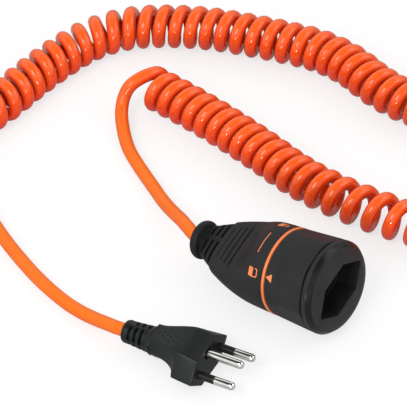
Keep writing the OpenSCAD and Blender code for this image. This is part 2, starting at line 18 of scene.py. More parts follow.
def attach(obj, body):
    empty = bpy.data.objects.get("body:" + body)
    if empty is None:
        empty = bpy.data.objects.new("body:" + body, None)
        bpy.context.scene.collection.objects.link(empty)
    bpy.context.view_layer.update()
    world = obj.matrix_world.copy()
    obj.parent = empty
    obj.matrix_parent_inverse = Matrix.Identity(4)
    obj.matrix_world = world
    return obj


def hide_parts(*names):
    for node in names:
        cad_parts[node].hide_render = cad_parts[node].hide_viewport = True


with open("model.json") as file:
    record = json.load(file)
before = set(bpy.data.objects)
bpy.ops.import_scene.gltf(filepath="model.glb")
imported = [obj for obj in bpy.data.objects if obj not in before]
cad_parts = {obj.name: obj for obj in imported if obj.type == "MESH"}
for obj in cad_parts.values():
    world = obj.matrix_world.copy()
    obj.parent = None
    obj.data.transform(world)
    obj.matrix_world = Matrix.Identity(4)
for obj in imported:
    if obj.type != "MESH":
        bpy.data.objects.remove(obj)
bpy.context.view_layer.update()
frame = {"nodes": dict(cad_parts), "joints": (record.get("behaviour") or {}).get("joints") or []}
scene = bpy.context.scene
mm = 0.001
print("CAD nodes:", len(frame["nodes"]))

# %% [markdown]
# ## The camera
#
# A long lens looks down at 45 degrees and is rolled by 9.5 degrees, so that the world's
# vertical leans to the left in the picture. With a long lens the scale hardly changes over the
# object, and one number, the picture's pixels per millimetre, sets the focal length.

# %% Camera
azimuth, elevation, camera_roll = (math.radians(v) for v in (43.6, 45.0, 9.5))
target = Vector((-65.1, 30.55, 0)) * mm
distance = 2.0
pixels_per_mm, picture_pixels, sensor = 2.08, 407, 36.0

back = Vector((math.sin(azimuth) * math.cos(elevation),
               -math.cos(azimuth) * math.cos(elevation), math.sin(elevation)))
level = Vector((0, 0, 1)).cross(back).normalized()
steep = back.cross(level)
right = math.cos(camera_roll) * level - math.sin(camera_roll) * steep
up = math.sin(camera_roll) * level + math.cos(camera_roll) * steep

lens = bpy.data.cameras.new("camera")
lens.sensor_width = sensor
lens.lens = pixels_per_mm * distance / mm / picture_pixels * sensor
lens.clip_start, lens.clip_end = 0.05, 20
camera = bpy.data.objects.new("camera", lens)
scene.collection.objects.link(camera)
place = target + distance * back
camera.matrix_world = Matrix((
    (right.x, up.x, back.x, place.x), (right.y, up.y, back.y, place.y),
    (right.z, up.z, back.z, place.z), (0, 0, 0, 1)))
scene.camera = camera
print("focal length", round(lens.lens, 1), "mm")

# %% [markdown]
# ## Mesh helpers
#
# Nearly every piece here is a skin over a row of rings: a cord, a turned rim, a lofted plug.
# Modifiers on simple solids could give such shapes too, but rings say exactly where each edge
# lies, and one helper turns them into a closed mesh.

# %% Pieces and skins
no_gap = 1e-7  # points nearer than this, in metres, are one point


def unit(v):
    v = np.asarray(v, float)
    return v / np.linalg.norm(v, axis=-1, keepdims=True)


def piece(name, points, faces, materials, face_material=None, sharp=None):
    """A mesh object from points in millimetres; edges sharper than sharp degrees stay crisp."""
    mesh = bpy.data.meshes.new(name)
    mesh.from_pydata((np.asarray(points, float) * mm).tolist(), [], faces)
    for m in materials:
        mesh.materials.append(m)
    if face_material is not None:
        mesh.polygons.foreach_set("material_index", np.asarray(face_material, np.int32))
    mesh.update()
    made = bpy.data.objects.new(name, mesh)
    scene.collection.objects.link(made)
    shade(made, sharp)
    return made


def shade(made, sharp):
    mesh = made.data
    mesh.polygons.foreach_set("use_smooth", np.full(len(mesh.polygons), True))
    if sharp:
        mesh.set_sharp_from_angle(angle=math.radians(sharp))


def around(n):
    return 2 * math.pi * np.arange(n) / n


def ring_faces(rows, columns, loop=False):
    """Faces over rings of points: capped at both ends, or the last ring joined to the first."""
    last = (rows - 1) * columns
    caps = [tuple(range(columns))[::-1], tuple(range(last, last + columns))]
    quads = [(i * columns + k, i * columns + (k + 1) % columns,
              (i + 1) % rows * columns + (k + 1) % columns, (i + 1) % rows * columns + k)
             for i in range(rows if loop else rows - 1) for k in range(columns)]
    return quads if loop else quads + caps


def clean(made, sharp):
    """Joins double points and turns every face outwards."""
    mesh = bmesh.new()
    mesh.from_mesh(made.data)
    bmesh.ops.remove_doubles(mesh, verts=mesh.verts, dist=no_gap)
    bmesh.ops.dissolve_degenerate(mesh, edges=mesh.edges, dist=no_gap)
    bmesh.ops.recalc_face_normals(mesh, faces=mesh.faces)
    mesh.to_mesh(made.data)
    mesh.free()
    shade(made, sharp)
    return made


def skin(name, rings, material, sharp=32, loop=False):
    """A closed skin over rings of equal count."""
    rings = np.asarray(rings, float)
    faces = ring_faces(*rings.shape[:2], loop)
    return clean(piece(name, rings.reshape(-1, 3), faces, [material]), sharp)


# %% [markdown]
# ### Cutting, rounding and standing in
#
# A hole through a finished skin is easier to cut than to weave into its rings, so that is one
# helper. Moulded edges are never sharp, so another one gives a profile short arcs at its
# corners. The last says which CAD nodes a piece stands for.

# %% Holes, rounded corners and CAD nodes
def carve(body, tools, sharp=32):
    """Cuts the closed tool meshes out of a body, one after the other, and removes them."""
    for tool in tools:
        cut = body.modifiers.new("cut", "BOOLEAN")
        cut.operation, cut.solver, cut.object = "DIFFERENCE", "EXACT", tool
    bpy.context.view_layer.update()
    seen = body.evaluated_get(bpy.context.evaluated_depsgraph_get())
    mesh = bpy.data.meshes.new_from_object(seen)
    body.modifiers.clear()
    body.data = mesh
    for tool in tools:
        bpy.data.objects.remove(tool)
    shade(body, sharp)
    return body


def arc(a, corner, b, count):
    """Points of a short curve from a to b, pulled towards the corner between them."""
    return [(1 - t) ** 2 * a + 2 * t * (1 - t) * corner + t * t * b
            for t in np.linspace(0, 1, count)]


def rounded(corners, steps=4, share=0.45):
    """A profile whose corners (x, r, fillet) are short arcs, over a share of a side at most."""
    made = []
    for i, (x, r, fillet) in enumerate(corners):
        p = np.array([x, r], float)
        if not fillet:
            made.append(p)
            continue
        to_a = np.array(corners[i - 1][:2]) - p
        to_b = np.array(corners[i + 1][:2]) - p
        reach = min(fillet, share * np.linalg.norm(to_a), share * np.linalg.norm(to_b))
        made += arc(p + unit(to_a) * reach, p, p + unit(to_b) * reach, steps + 1)
    return np.array(made)


def stands_in(made, body, slot, *nodes):
    """The piece rides on a body and hides the CAD nodes it replaces; slot is not used."""
    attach(made, body)
    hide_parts(*nodes)
    print(made.name, "for", ", ".join(nodes) + ":", len(made.data.polygons), "faces")


# %% [markdown]
# ## Finishes
#
# Each finish starts from its plain colour, and noise in two or three sizes then breaks up
# colour, gloss and surface. Shader maths reads best as sums, so a small class lets one socket's
# value be added and multiplied like a number.

# %% One value of a shader
class Value:
    """One output socket of a shader, used like a number."""

    def __init__(self, tree, socket):
        self.tree, self.socket = tree, socket

    def maths(self, operation, *terms, clamp=False):
        made = self.tree.nodes.new("ShaderNodeMath")
        made.operation, made.use_clamp = operation, clamp
        for term, socket in zip(terms, made.inputs):
            if isinstance(term, Value):
                self.tree.links.new(term.socket, socket)
            else:
                socket.default_value = term
        return Value(self.tree, made.outputs[0])

    def __add__(self, other):
        return self.maths("ADD", self, other)

    def __sub__(self, other):
        return self.maths("SUBTRACT", self, other)

    def __rsub__(self, other):
        return self.maths("SUBTRACT", other, self)

    def __mul__(self, other):
        return self.maths("MULTIPLY", self, other)

    __radd__, __rmul__ = __add__, __mul__

    def between(self, low, high):
        """0 below low, 1 above high."""
        return self.maths("MULTIPLY", self - low, 1 / (high - low), clamp=True)


# %% [markdown]
# A finish is a Principled shader with the nodes that feed it. One method makes any node from
# its kind, its settings and its sockets, which keeps the finishes below short.

# %% Node trees and finishes
class Nodes:
    """A node tree being filled, for a material or for the sky."""

    def __init__(self, owner):
        owner.use_nodes = True
        self.tree = owner.node_tree

    def give(self, node, socket, value):
        if isinstance(value, Value):
            self.tree.links.new(value.socket, node.inputs[socket])
        else:
            node.inputs[socket].default_value = value

    def node(self, kind, settings=None, sockets=None, out=0):
        """A node of that kind: settings first, then the values or links of its sockets."""
        made = self.tree.nodes.new("ShaderNode" + kind)
        for key, value in (settings or {}).items():
            setattr(made, key, value)
        for key, value in (sockets or {}).items():
            self.give(made, key, value)
        return Value(self.tree, made.outputs[out])

    def mix(self, share, a, b):
        """Colour a where share is 0, b where it is 1."""
        a, b = ((*c, 1) if isinstance(c, tuple) and len(c) == 3 else c for c in (a, b))
        return self.node("Mix", {"data_type": "RGBA"}, {0: share, 6: a, 7: b}, out=2)


class Finish(Nodes):
    """A material being made: its Principled shader and the nodes that feed it."""

    def __init__(self, name, colour, roughness, metallic=0.0, **shader):
        self.material = bpy.data.materials.new(name)
        super().__init__(self.material)
        self.shader = self.tree.nodes["Principled BSDF"]
        self.set("Base Color", (*colour, 1))
        self.set("Roughness", roughness)
        self.set("Metallic", metallic)
        for socket, value in shader.items():
            self.set(socket.replace("_", " "), value)
        self.spot = self.node("TexCoord", out="Object")

    def set(self, socket, value):
        self.give(self.shader, socket, value)

    def noise(self, size_mm, detail=2.0, stretch=None, rough=0.5):
        """Noise whose cells are about size_mm across, from 0 to 1."""
        at = self.spot
        if stretch:
            at = self.node("Mapping", {}, {"Vector": self.spot, "Scale": stretch})
        return self.node("TexNoise", {}, {"Vector": at, "Scale": 1 / (size_mm * mm),
                                          "Detail": detail, "Roughness": rough})

    def relief(self, height, strength, depth_mm):
        self.set("Normal", self.node("Bump", {}, {
            "Strength": strength, "Distance": depth_mm * mm, "Height": height}))


# %% [markdown]
# ### Moulded plastics
#
# The mould leaves a fine grain on the plastic, and handling adds dust and rubbed places. Image
# textures would need an unwrapped surface. Noise in object space needs none and has no seams.

# %% Moulded plastics
def shift(colour, by):
    """A colour made lighter or darker, or warmer by a triple of factors."""
    by = by if isinstance(by, tuple) else (by,) * 3
    return tuple(min(1.0, c * f) for c, f in zip(colour, by))


def moulded(name, colour, roughness, gloss=0.5, grain_mm=0.35, grain=0.25, **shader):
    """Black or coloured plastic from a mould with a fine grain, handled for some time."""
    f = Finish(name, colour, roughness, Specular_IOR_Level=gloss, **shader)
    cloud, fine, dust = f.noise(14, 3), f.noise(grain_mm, 1.5), f.noise(2.2, 4, rough=0.65)
    base = f.mix(cloud.between(0.3, 0.7), shift(colour, 0.88), shift(colour, 1.12))
    f.set("Base Color", f.mix(dust.between(0.62, 0.78) * 0.35, base, shift(colour, 1.7)))
    f.set("Roughness", roughness - 0.05 + 0.1 * cloud + 0.12 * dust.between(0.55, 0.8))
    f.relief(fine + 0.5 * dust, grain, 0.05)
    return f.material


grip_black = moulded("grip_black", (0.023, 0.023, 0.024), 0.52, 0.12)
relief_black = moulded("relief_black", (0.012, 0.012, 0.013), 0.5, 0.2)
collar_black = moulded("collar_black", (0.0262, 0.0262, 0.0272), 0.46, 0.12,
                       Specular_Tint=(0.4, 0.4, 0.4, 1))
rim_black = moulded("rim_black", (0.026, 0.026, 0.027), 0.45, 0.2, 0.5, 0.12,
                    Specular_Tint=(0.45, 0.45, 0.45, 1))
band_black = moulded("rim_band", (0.006, 0.006, 0.007), 0.22, 0.25, 0.5, 0.08)
# Painted shade: the recess of the insert gets a darker black than the rim it is moulded with.
recess_painted_shade = moulded("recess_painted_shade", (0.01, 0.01, 0.01), 0.5, 0.15, 0.5, 0.1)
plug_black = moulded("plug_black", (0.0085, 0.0105, 0.0112), 0.38, 0.3, 0.3, 0.15)
boot_black = moulded("boot_black", (0.007, 0.0085, 0.009), 0.4, 0.28, 0.3, 0.15)
sleeve_black = moulded("sleeve_black", (0.008, 0.008, 0.009), 0.3, 0.3, 0.4, 0.1)
accent = moulded("accent_orange", (0.83, 0.20, 0.055), 0.38, 0.5, 0.4, 0.1)
print_orange = moulded("print_orange", (0.86, 0.23, 0.075), 0.5, 0.5, 0.4, 0.1)
ivory = moulded("ivory_plastic", (0.72, 0.69, 0.60), 0.45, 0.5, 0.4, 0.1)
brown = moulded("core_brown", (0.16, 0.065, 0.03), 0.42)
blue = moulded("core_blue", (0.03, 0.13, 0.42), 0.42)
print("plastics:", len(bpy.data.materials))


# %% [markdown]
# ### Metals and the earth core
#
# Pins, contacts, ferrule and spring are turned or drawn, which leaves long fine streaks, so
# their noise is stretched. The stripe of the earth core winds along it, and the slanted bands
# of a wave texture do the same.

# %% Metals and the earth core
def striped_green():
    """Earth core: green with a yellow stripe that winds along it."""
    green_colour, yellow = (0.05, 0.25, 0.04), (0.8, 0.62, 0.03)
    f = Finish("core_green_yellow", green_colour, 0.42)
    turn = f.node("TexWave", {"wave_type": "BANDS", "bands_direction": "DIAGONAL"},
                  {"Vector": f.spot, "Scale": 90.0, "Distortion": 0.0})
    f.set("Base Color", f.mix(turn.between(0.45, 0.55), green_colour, yellow))
    f.set("Roughness", 0.38 + 0.1 * f.noise(3))
    return f.material


def drawn_metal(name, colour, roughness, streaks=(40, 6, 40), bump=0.12):
    """Turned or drawn metal: long fine streaks, and a little tarnish in soft clouds."""
    f = Finish(name, colour, roughness, 1.0)
    streak, cloud = f.noise(30, 3, streaks), f.noise(3.5, 3)
    f.set("Base Color", f.mix(cloud.between(0.35, 0.75), colour, shift(colour, 0.8)))
    f.set("Roughness", roughness + 0.5 * bump * (streak + cloud - 1.0))
    f.relief(streak, bump, 0.02)
    return f.material


nickel = drawn_metal("nickel", (0.93, 0.92, 0.89), 0.07, (3, 12, 12), 0.004)
steel = drawn_metal("spring_steel", (0.56, 0.57, 0.6), 0.28)
brass = drawn_metal("brass", (0.7, 0.5, 0.22), 0.26, (14, 60, 60))
aluminium = drawn_metal("ferrule_metal", (0.68, 0.69, 0.7), 0.32)
green = striped_green()
print("with metals and the earth core:", len(bpy.data.materials))

# %% [markdown]
# ### Cord sheath
#
# The sheath is soft and lets a little light in. Its colour carries painted light and shade: paler
# where it faces up and deeper where it faces down, and a cloud of noise varies that tone at
# random. Its gloss takes on some of its own orange, because the curls mirror each other. So the
# shader gets some scattering, a colour that follows the normal, and a tinted coat.

# %% Cord sheath
def sheath(name, deep_painted_shade, pale_painted_light, roughness, coat):
    """Cord sheath: soft, glossy and scuffed, with painted light on top and painted shade below."""
    f = Finish(name, deep_painted_shade, roughness, Subsurface_Weight=0.12, Subsurface_Scale=0.002,
               Coat_Weight=coat, Coat_Roughness=0.07, Coat_Tint=(1, 0.7, 0.5, 1),
               Specular_IOR_Level=0.3, Specular_Tint=(1, 0.4, 0.2, 1))
    f.set("Subsurface Radius", (1.0, 0.25, 0.05))
    cloud, scuff, fine = f.noise(18, 2), f.noise(1.6, 4, rough=0.7), f.noise(0.5, 1)
    # Painted light and shade: pale where the sheath faces up, deep where it faces down; the cloud
    # adds random tone.
    faces_up_painted_light = f.node("SeparateXYZ", {}, {0: f.node("NewGeometry", out="Normal")}, out="Z")
    base = f.mix((faces_up_painted_light + 0.5 * cloud).between(-0.2, 1.2), deep_painted_shade, pale_painted_light)
    worn = shift(deep_painted_shade, (0.8, 0.7, 0.7))
    f.set("Base Color", f.mix(scuff.between(0.6, 0.8) * 0.3, base, worn))
    f.set("Roughness", roughness - 0.04 + 0.08 * cloud + 0.2 * scuff.between(0.6, 0.85))
    f.relief(fine + 0.6 * scuff, 0.08, 0.05)
    return f.material


# Deep colour for the painted shade below, pale colour for the painted light above, roughness and
# coat: the lead is bright, the coil redder and glossier. The tones between them go in steps too
# small to see.
lead_look = np.array([0.7, 0.105, 0.006, 0.87, 0.175, 0.015, 0.36, 0.12])
coil_look = np.array([0.6, 0.02, 0.0005, 0.94, 0.165, 0.025, 0.2, 0.85])
tones = 8


def sheath_tone(k):
    look = (lead_look + (coil_look - lead_look) * k / (tones - 1)).tolist()
    return sheath(f"sheath_{k}", tuple(look[:3]), tuple(look[3:6]), look[6], look[7])


sheaths = [sheath_tone(k) for k in range(tones)]
print("finishes:", len(bpy.data.materials))

# %% [markdown]
# ## The cord
#
# The real cord is one round cable from end to end: straight, then wound, then straight. So it is
# one tube here as well. A screw modifier would wind a straight coil, but this one runs in bends
# and its curls fan out there, so its line is worked out point by point. The coil's course on the
# floor is a row of runs: length, bend in degrees, and how much wider the curls stand there. All
# of it is in millimetres and follows the CAD source, three points to each eighth of a curl.

# %% Centre line of the coil
cord_d, coil_d, coil_pitch, curl_gap, curls = 6.6, 22.0, 8.3, 0.9, 71
cord_r, coil_r, coil_z = cord_d / 2, (coil_d - cord_d) / 2, coil_d / 2
bend_spread, look, first_turn, eighths, between = 1.3, 9.0, 105.0, 8, 3
coil_start = (-128.1, 74.1, -3.0)
coil_route = [
    (49, -5, 0), (40, -4, 0), (30, 11, 0), (50, 10, 3), (30, 14, 2.5),
    (60, 104, bend_spread), (50, 69, bend_spread),
    (40, -11, 0), (40, -22, 0), (40, 29, 0), (40, 5, 0), (40, 16, 0), (40, 42, 0), (40, 11, 0),
    (60, -40, 0)]


def on_run(start, run, s):
    """Place and heading at the distance s along one run; sinc makes an arc's chord of it."""
    bend = run[1] * s / run[0]
    chord = s * np.sinc(bend / 360)
    aim = math.radians(start[2] + bend / 2)
    return (start[0] + chord * math.cos(aim), start[1] + chord * math.sin(aim), start[2] + bend)


run_starts, run_sums = [coil_start], [0.0]
for run in coil_route[:-1]:
    run_starts.append(on_run(run_starts[-1], run, run[0]))
    run_sums.append(run_sums[-1] + run[0])


def run_at(s):
    return max(k for k, total in enumerate(run_sums) if total <= max(s, 0))


def on_route(s):
    k = run_at(s)
    return on_run(run_starts[k], coil_route[k], s - run_sums[k])


def pitch_at(s):
    """Distance from curl to curl: the curls fan out in a bend, so its inner side stays open."""
    bend = math.radians(abs(on_route(s + look)[2] - on_route(s - look)[2])) / (2 * look)
    spread = (coil_route[run_at(s - look)][2] + coil_route[run_at(s + look)][2]) / 2
    return max(coil_pitch + spread, (cord_d + curl_gap) / (1 - coil_r * bend))


def curl(s, turn):
    """Centre of the cord at a place on the coil."""
    x, y, heading = on_route(s)
    h, t = math.radians(heading), math.radians(turn)
    left, over = np.array([-math.sin(h), math.cos(h), 0]), np.array([0, 0, 1.0])
    return np.array([x, y, coil_z]) + coil_r * (math.sin(t) * over - math.cos(t) * left)


ring_s = [0.0]
for _ in range(curls * eighths):
    ring_s.append(ring_s[-1] + pitch_at(ring_s[-1]) / eighths)
fine_s = np.interp(np.arange(curls * eighths * between + 1) / between,
                   np.arange(len(ring_s)), ring_s)
coil_line = np.array([curl(s, first_turn + 360 / eighths / between * i)
                      for i, s in enumerate(fine_s)])
print("curls:", curls, "along", round(ring_s[-1]), "mm")

# %% [markdown]
# ### The two ends
#
# The lock's joint lies on the coupling's axis, at a known distance from the cable end, so the
# frame itself says where the coupling is. The plug lies flat, turned a little. Each gets axes of
# its own, so that its pieces are drawn in plain x, y and z.

# %% Axes of the coupling and the plug
lock, lock_x, coupling_roll = frame["joints"][0], 65.0, math.radians(13)
axis_dir = -unit(lock["axis"])
grip_start = np.array(lock["pos_m"]) / mm - lock_x * axis_dir
tilt = math.asin(axis_dir[2])
coupling_side = np.array([0, math.cos(coupling_roll), 0]) + math.sin(coupling_roll) * np.array(
    [-math.sin(tilt), 0, math.cos(tilt)])
coupling_top = np.cross(axis_dir, coupling_side)

plug_h, boot_rise, plug_len, boot_len = 17.0, 1.0, 28.5, 16.5
plug_start = np.array([4.1, -55.7, plug_h / 2])
plug_heading = math.radians(7)
plug_dir = np.array([math.cos(plug_heading), math.sin(plug_heading), 0])
plug_side = np.array([-math.sin(plug_heading), math.cos(plug_heading), 0])


def axes_at(start, *directions):
    """A function from points (x, y, z) in axes of their own to their places in the world."""
    return lambda points: start + np.asarray(points, float) @ np.array(directions)


on_coupling = axes_at(grip_start, axis_dir, coupling_side, coupling_top)
on_plug = axes_at(plug_start, plug_dir, plug_side, (0, 0, 1.0))
print("coupling raised by", round(math.degrees(tilt), 1), "degrees")

# %% [markdown]
# ### The straight leads
#
# The leads run through a few chosen points. A Catmull-Rom curve passes through every one of
# them and makes no kinks, where a Bezier curve would need two handles at each.

# %% Leads and the whole line
coupling_route = [
    (-46.5, 1, 15.2), (-52.5, 3.9, 14.3), (-59, 7.4, 12.4), (-66, 10.9, 9.9), (-73, 14.5, 7.6),
    (-80.5, 18.6, 5.6), (-88, 23, 4.2), (-97.5, 28.2, 3.4), (-107, 33.3, 3.3), (-117, 39.4, 3.3),
    (-126.5, 47.6, 4.3), (-133.2, 55.5, 7.8), (-135, 61.5, 12.6), (-133.2, 66, 17.2)]
plug_route = [
    (-182, -10, 13.5), (-174, -15, 9), (-165.5, -20.5, 5.3), (-156.5, -26, 3.5),
    (-147, -32, 3.3), (-137, -37.3, 3.3), (-126, -42.4, 3.3), (-114, -47.3, 3.3),
    (-102, -51.7, 3.3), (-90, -55.2, 3.3), (-79, -57.6, 3.3), (-69, -59, 3.9),
    (-59.5, -60, 5.5), (-52, -60.8, 7.4), (-46.5, -61.5, 8.9)]


def part_way(a, b, start, end, t):
    """From a at start to b at end."""
    return a + (b - a) * (t - start) / (end - start)


def smooth_line(points, step, before=None, after=None):
    """A centripetal Catmull-Rom curve through the points, with points about step apart.

    The points before and after only say where the line comes from and goes to."""
    p = np.asarray(points, float)
    p = np.vstack([2 * p[0] - p[1] if before is None else before, p,
                   2 * p[-1] - p[-2] if after is None else after])
    made = []
    for i in range(1, len(p) - 2):
        a, b, c, d = p[i - 1:i + 3]
        tb, tc, td = np.cumsum([np.linalg.norm(v) ** 0.5 for v in (b - a, c - b, d - c)])
        n = max(1, round(np.linalg.norm(c - b) / step))
        for t in tb + (tc - tb) * np.arange(n) / n:
            ab, bc = part_way(a, b, 0, tb, t), part_way(b, c, tb, tc, t)
            abc = part_way(ab, bc, 0, tc, t)
            bcd = part_way(bc, part_way(c, d, tc, td, t), tb, td, t)
            made.append(part_way(abc, bcd, tb, tc, t))
    made.append(p[-2])
    return np.array(made)


jacket_x, plug_jacket_x, line_step, hair = 29.7, -plug_len + 2, 1.6, 0.02
lead_a = smooth_line([*on_coupling([(jacket_x, 0, 0), (jacket_x / 2, 0, 0), (0, 0, 0)]),
                      *coupling_route, coil_line[0]], line_step, after=coil_line[4])[:-1]
in_plug = on_plug([(-plug_len - boot_len, 0, boot_rise), (plug_jacket_x, 0, boot_rise)])
lead_b = smooth_line([coil_line[-1], *plug_route, *in_plug], line_step,
                     before=coil_line[-5])[1:]
cord_line = np.vstack([lead_a, coil_line, lead_b])
cord_line[:, 2] = np.maximum(cord_line[:, 2], cord_r + hair)

# %% [markdown]
# ### The tube
#
# Each ring of the tube is carried along from the one before, turned only as much as the line
# itself turns. That keeps the skin free of twist where the coil starts and ends. The lead is a
# brighter orange than the coil, so the faces pick their finish by their distance from it.

# %% Cord tube
def cord_tube(name, line, r, sides, materials, choose):
    d = unit(np.gradient(line, axis=0))
    u = np.array([0, 0, 1.0])
    points = []
    cos, sin = np.cos(around(sides))[:, None], np.sin(around(sides))[:, None]
    for p, t in zip(line, d):
        u = unit(u - t * (u @ t))
        points.append(p + r * (cos * u + sin * np.cross(t, u)))
    faces = ring_faces(len(line), sides)
    chosen = [choose(f[0] // sides) for f in faces[:-2]] + [0, 0]
    return piece(name, np.vstack(points), faces, materials, chosen, sharp=60)


coil_from, coil_to, fading_rings = len(lead_a), len(lead_a) + len(coil_line), 34


def sheath_at(i):
    away = max(coil_from - i, i - coil_to, 0)
    return round((tones - 1) * max(0, 1 - away / fading_rings))


cord = cord_tube("cord", cord_line, cord_r, 16, sheaths, sheath_at)
stands_in(cord, "housing", "coil_orange", "lead_coupling", "coiled_cord", "lead_plug")

# %% [markdown]
# ## The coupling
#
# Every moulded piece of the coupling is a skin in polar form: at each place x along the axis
# and each angle round it there is one radius. That suits a turned body with a flattened tail,
# and slots, grooves and flats are then simply places where the radius is smaller. Angles are
# measured from the top towards the near side.

# %% Sizes of the coupling
grip_len, ring_w, play, collar_len, collar_gap, rim_len = 53.5, 1.4, 0.4, 21.4, 0.8, 6.4
grip_d, neck_d, flange_d, collar_d, rim_d = 42.4, 16.8, 19.0, 45.2, 45.4
grip_wall, flat_depth, core_r, core_wall, fit = 2.4, 0.7, 19.2, 1.9, 0.05
relief_len, neck_x, flange_x, tail_h, tail_front_h = 16.0, 5.6, 2.6, 10.0, 15.4
ring_x = grip_len
collar_x = ring_x + ring_w + play
rim_x = collar_x + collar_len + collar_gap
front_x = rim_x + rim_len
core_x, tail_end = ring_x - 6, relief_len + 12.4
round_x, cavity_x = core_x - 0.2, relief_len + 8


def polar(x, r, angle):
    """Places in the coupling's or the plug's axes from x, radius and angle in radians."""
    x, r, angle = np.broadcast_arrays(x, r, angle)
    return np.stack([x, -r * np.sin(angle), r * np.cos(angle)], -1)


def turned_rings(profile, n):
    """Rings of a turned piece, from a profile of (x, r)."""
    return np.array([polar(x, max(r, 1e-4), around(n)) for x, r in profile])


def turned(name, axes, profile, at=(0, 0), material=None, n=48, sharp=None, loop=False):
    """A turned piece or a cutter in those axes, about a line at (y, z)."""
    return skin(name, axes(turned_rings(profile, n) + (0, *at)), material, sharp, loop)


def rod(name, axes, x0, x1, r, at=(0, 0)):
    return turned(name, axes, [(x0, r), (x1, r)], at)


def ease(t):
    t = np.clip(t, 0, 1)
    return t * t * (3 - 2 * t)


def ramp(t, soft=0.25):
    """From 0 to 1 with soft ends, as the CAD's ramp from the tail to the round grip."""
    t = np.clip(t, 0, 1)
    bend = 2 * soft * (1 - soft)
    return np.where(t < soft, t * t / bend,
                    np.where(t > 1 - soft, 1 - (1 - t) ** 2 / bend, (t - soft / 2) / (1 - soft)))


print("coupling:", round(front_x, 1), "mm long")

# %% [markdown]
# ### The grip's section
#
# The grip is round in front and flat above and below at its tail, and the strain relief carries
# the same shape on. One rounded section covers both: its power goes from squarish to round.

# %% Section of the grip
def grip_r(x):
    return grip_d / 2 - (grip_d - neck_d) / 2 * ((ring_x - x) / (ring_x - neck_x)) ** 2


def grip_share(x):
    return ramp((x - tail_end) / (round_x - tail_end))


def grip_high(x):
    flat = tail_h / 2 + (tail_front_h - tail_h) / 2 * (
        np.minimum(x, tail_end) - neck_x) / (tail_end - neck_x)
    return flat * (1 - grip_share(x)) + grip_r(x) * grip_share(x)


tail_swell, tail_square = 0.065, 1.2


def grip_radius(x, angle, wide=0.0, high=0.0):
    """Radius of the grip: a round section whose tail is flat above and below."""
    b = grip_high(x)
    a = (grip_r(x) - wide) * (1 + tail_swell * (1 - b / grip_r(x)))
    n = 2 + tail_square - tail_square * grip_share(x)
    across, over = np.abs(np.sin(angle)) / a, np.abs(np.cos(angle)) / (b - high)
    return (across ** n + over ** n) ** (-1 / n)


def groove_mask(x, start, width, soft=0.1):
    """1 inside a groove from start to start + width, 0 outside, with soft edges."""
    return ease((x - start + soft) / soft) * ease((start + width + soft - x) / soft)


def stations(start, end, step, edges, soft=0.1):
    """Places along the axis: an even step, and close pairs at the edges of grooves."""
    base = np.linspace(start, end, round((end - start) / step) + 1)
    extra = [e + k * soft for e in edges for k in (-1, -0.5, 0, 1)]
    extra = [x for x in extra if start < x < end]
    base = [x for x in base if all(abs(x - e) > soft for e in extra)]
    return np.array(sorted({*base, *extra, start, end}))


print("tail:", tail_h, "to", tail_front_h, "mm high")

# %% [markdown]
# ### Grip
#
# Four straight grooves cross the flat top and the flat underside, deeper towards the front. The
# skin gets extra rings just where a groove starts and ends, so its edges stay crisp without a
# dense mesh everywhere.

# %% Grip
groove_w, groove_step, groove_first, groove_count = 0.8, 3.05, relief_len + 2.4, 4
groove_half, longer, groove_deep, deeper = 8.6, 1.1, 0.4, 0.12
n_round = 192
grooves = [(groove_first + groove_step * i, groove_half + longer * i, groove_deep + deeper * i)
           for i in range(groove_count)]


def grip_outside(x):
    angle = around(n_round)
    r = grip_radius(x, angle) - hair
    y = r * np.abs(np.sin(angle))
    for start, half, depth in grooves:
        mask = groove_mask(x, start, groove_w) * ease((half + 0.5 - y) / 0.8)
        r = r - depth * mask / np.maximum(np.abs(np.cos(angle)), 0.5)
    return polar(x, r, angle)


spigot_r = core_r - 0.6
seat_r, step_x, throat_r, turn = spigot_r + 0.1, round_x - 0.1, cord_r + 1.1, around(n_round)
grip_edges = [e for start, half, depth in grooves for e in (start, start + groove_w)]
outside = [polar(relief_len, grip_radius(relief_len, turn) - 0.25, turn)]
outside += [grip_outside(x) for x in stations(relief_len + 0.12, ring_x - 0.25, 0.7, grip_edges)]
outside.append(polar(ring_x, grip_d / 2 - 0.3, turn))
inside = turned_rings([(ring_x, seat_r), (step_x, seat_r)], n_round)
hollow = [polar(x, grip_radius(x, turn, grip_wall, grip_wall * 0.75), turn)
          for x in np.linspace(step_x, cavity_x, 12)]
throat = turned_rings([(cavity_x, throat_r), (relief_len, throat_r)], n_round)
rear_grip = skin("grip_shell", on_coupling(np.array([*outside, *inside, *hollow, *throat])),
                 grip_black, sharp=28, loop=True)
stands_in(rear_grip, "housing", "grip", "rear_grip")

# %% [markdown]
# ### Strain relief
#
# Three slots cross the top and the underside, open at the sides, and leave a web in the middle
# and a sleeve round the cord. The bulged flange behind them is turned.

# %% Strain relief
slot_w, slot_step, slot_first, relief_step = 1.2, 3.2, neck_x + 2, 0.8
slot_floor, slot_core, slot_web, snug = 3.0, cord_r + 0.9, (0.8, 1.6), 0.06
slots = [slot_first + slot_step * i for i in range(3)]
web_sides = [base + side + np.array([-1.5, -0.5, 0.5, 1.5])
             for base in (0, 180) for side in (-18, 10)]
relief_angles = np.sort(np.concatenate([around(180), np.radians(np.concatenate(web_sides))])
                        % (2 * math.pi))


def relief_radius(x):
    angle = relief_angles
    r = grip_radius(x, angle, relief_step, 0.3)
    mask = max(groove_mask(x, s, slot_w, 0.08) for s in slots)
    across = -np.sin(angle) * r
    keep = ease((across + slot_web[0]) / 0.12 + 1) * ease((slot_web[1] - across) / 0.12 + 1)
    floor = np.maximum(slot_core, slot_floor / np.maximum(np.abs(np.cos(angle)), 1e-3))
    cut = np.minimum(r, floor)
    return r - (r - cut) * mask * (1 - keep)


